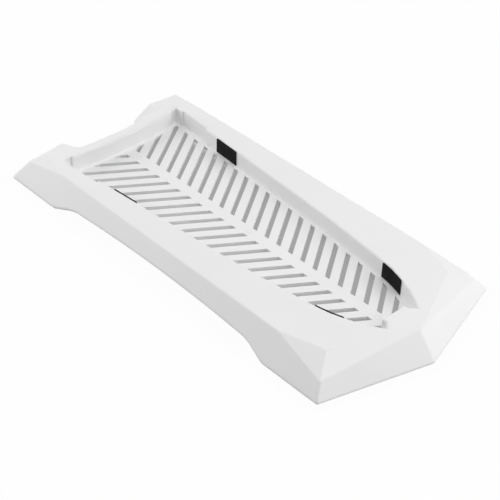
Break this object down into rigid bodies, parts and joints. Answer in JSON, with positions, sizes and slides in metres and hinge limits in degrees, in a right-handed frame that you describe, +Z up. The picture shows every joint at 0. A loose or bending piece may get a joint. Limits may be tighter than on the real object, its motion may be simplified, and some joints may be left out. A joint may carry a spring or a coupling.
{
  "type": "console vertical stand",
  "caption": "Low faceted stand in white moulded plastic that holds a tall games console upright in a tapered recess with a herringbone vented floor, rubber grip pads and feet.",
  "frame": {"origin": "on the table under the middle of the stand", "axes": "+Z up, +Y to the rear legs and the cable notch, -Y to the nose, +X to the right seen from the nose"},
  "size_m": [0.1316, 0.2777, 0.017],
  "materials": {
    "white_plastic": "fine satin moulded texture",
    "black_rubber": "matte"
  },
  "bodies": {
    "root": {"stand_body": "white_plastic", "rear_pad_right": "black_rubber", "rear_pad_left": "black_rubber", "front_pad_right": "black_rubber", "front_pad_left": "black_rubber", "front_foot_right": "black_rubber", "front_foot_left": "black_rubber", "rear_foot_right": "black_rubber", "rear_foot_left": "black_rubber"}
  },
  "joints": []
}
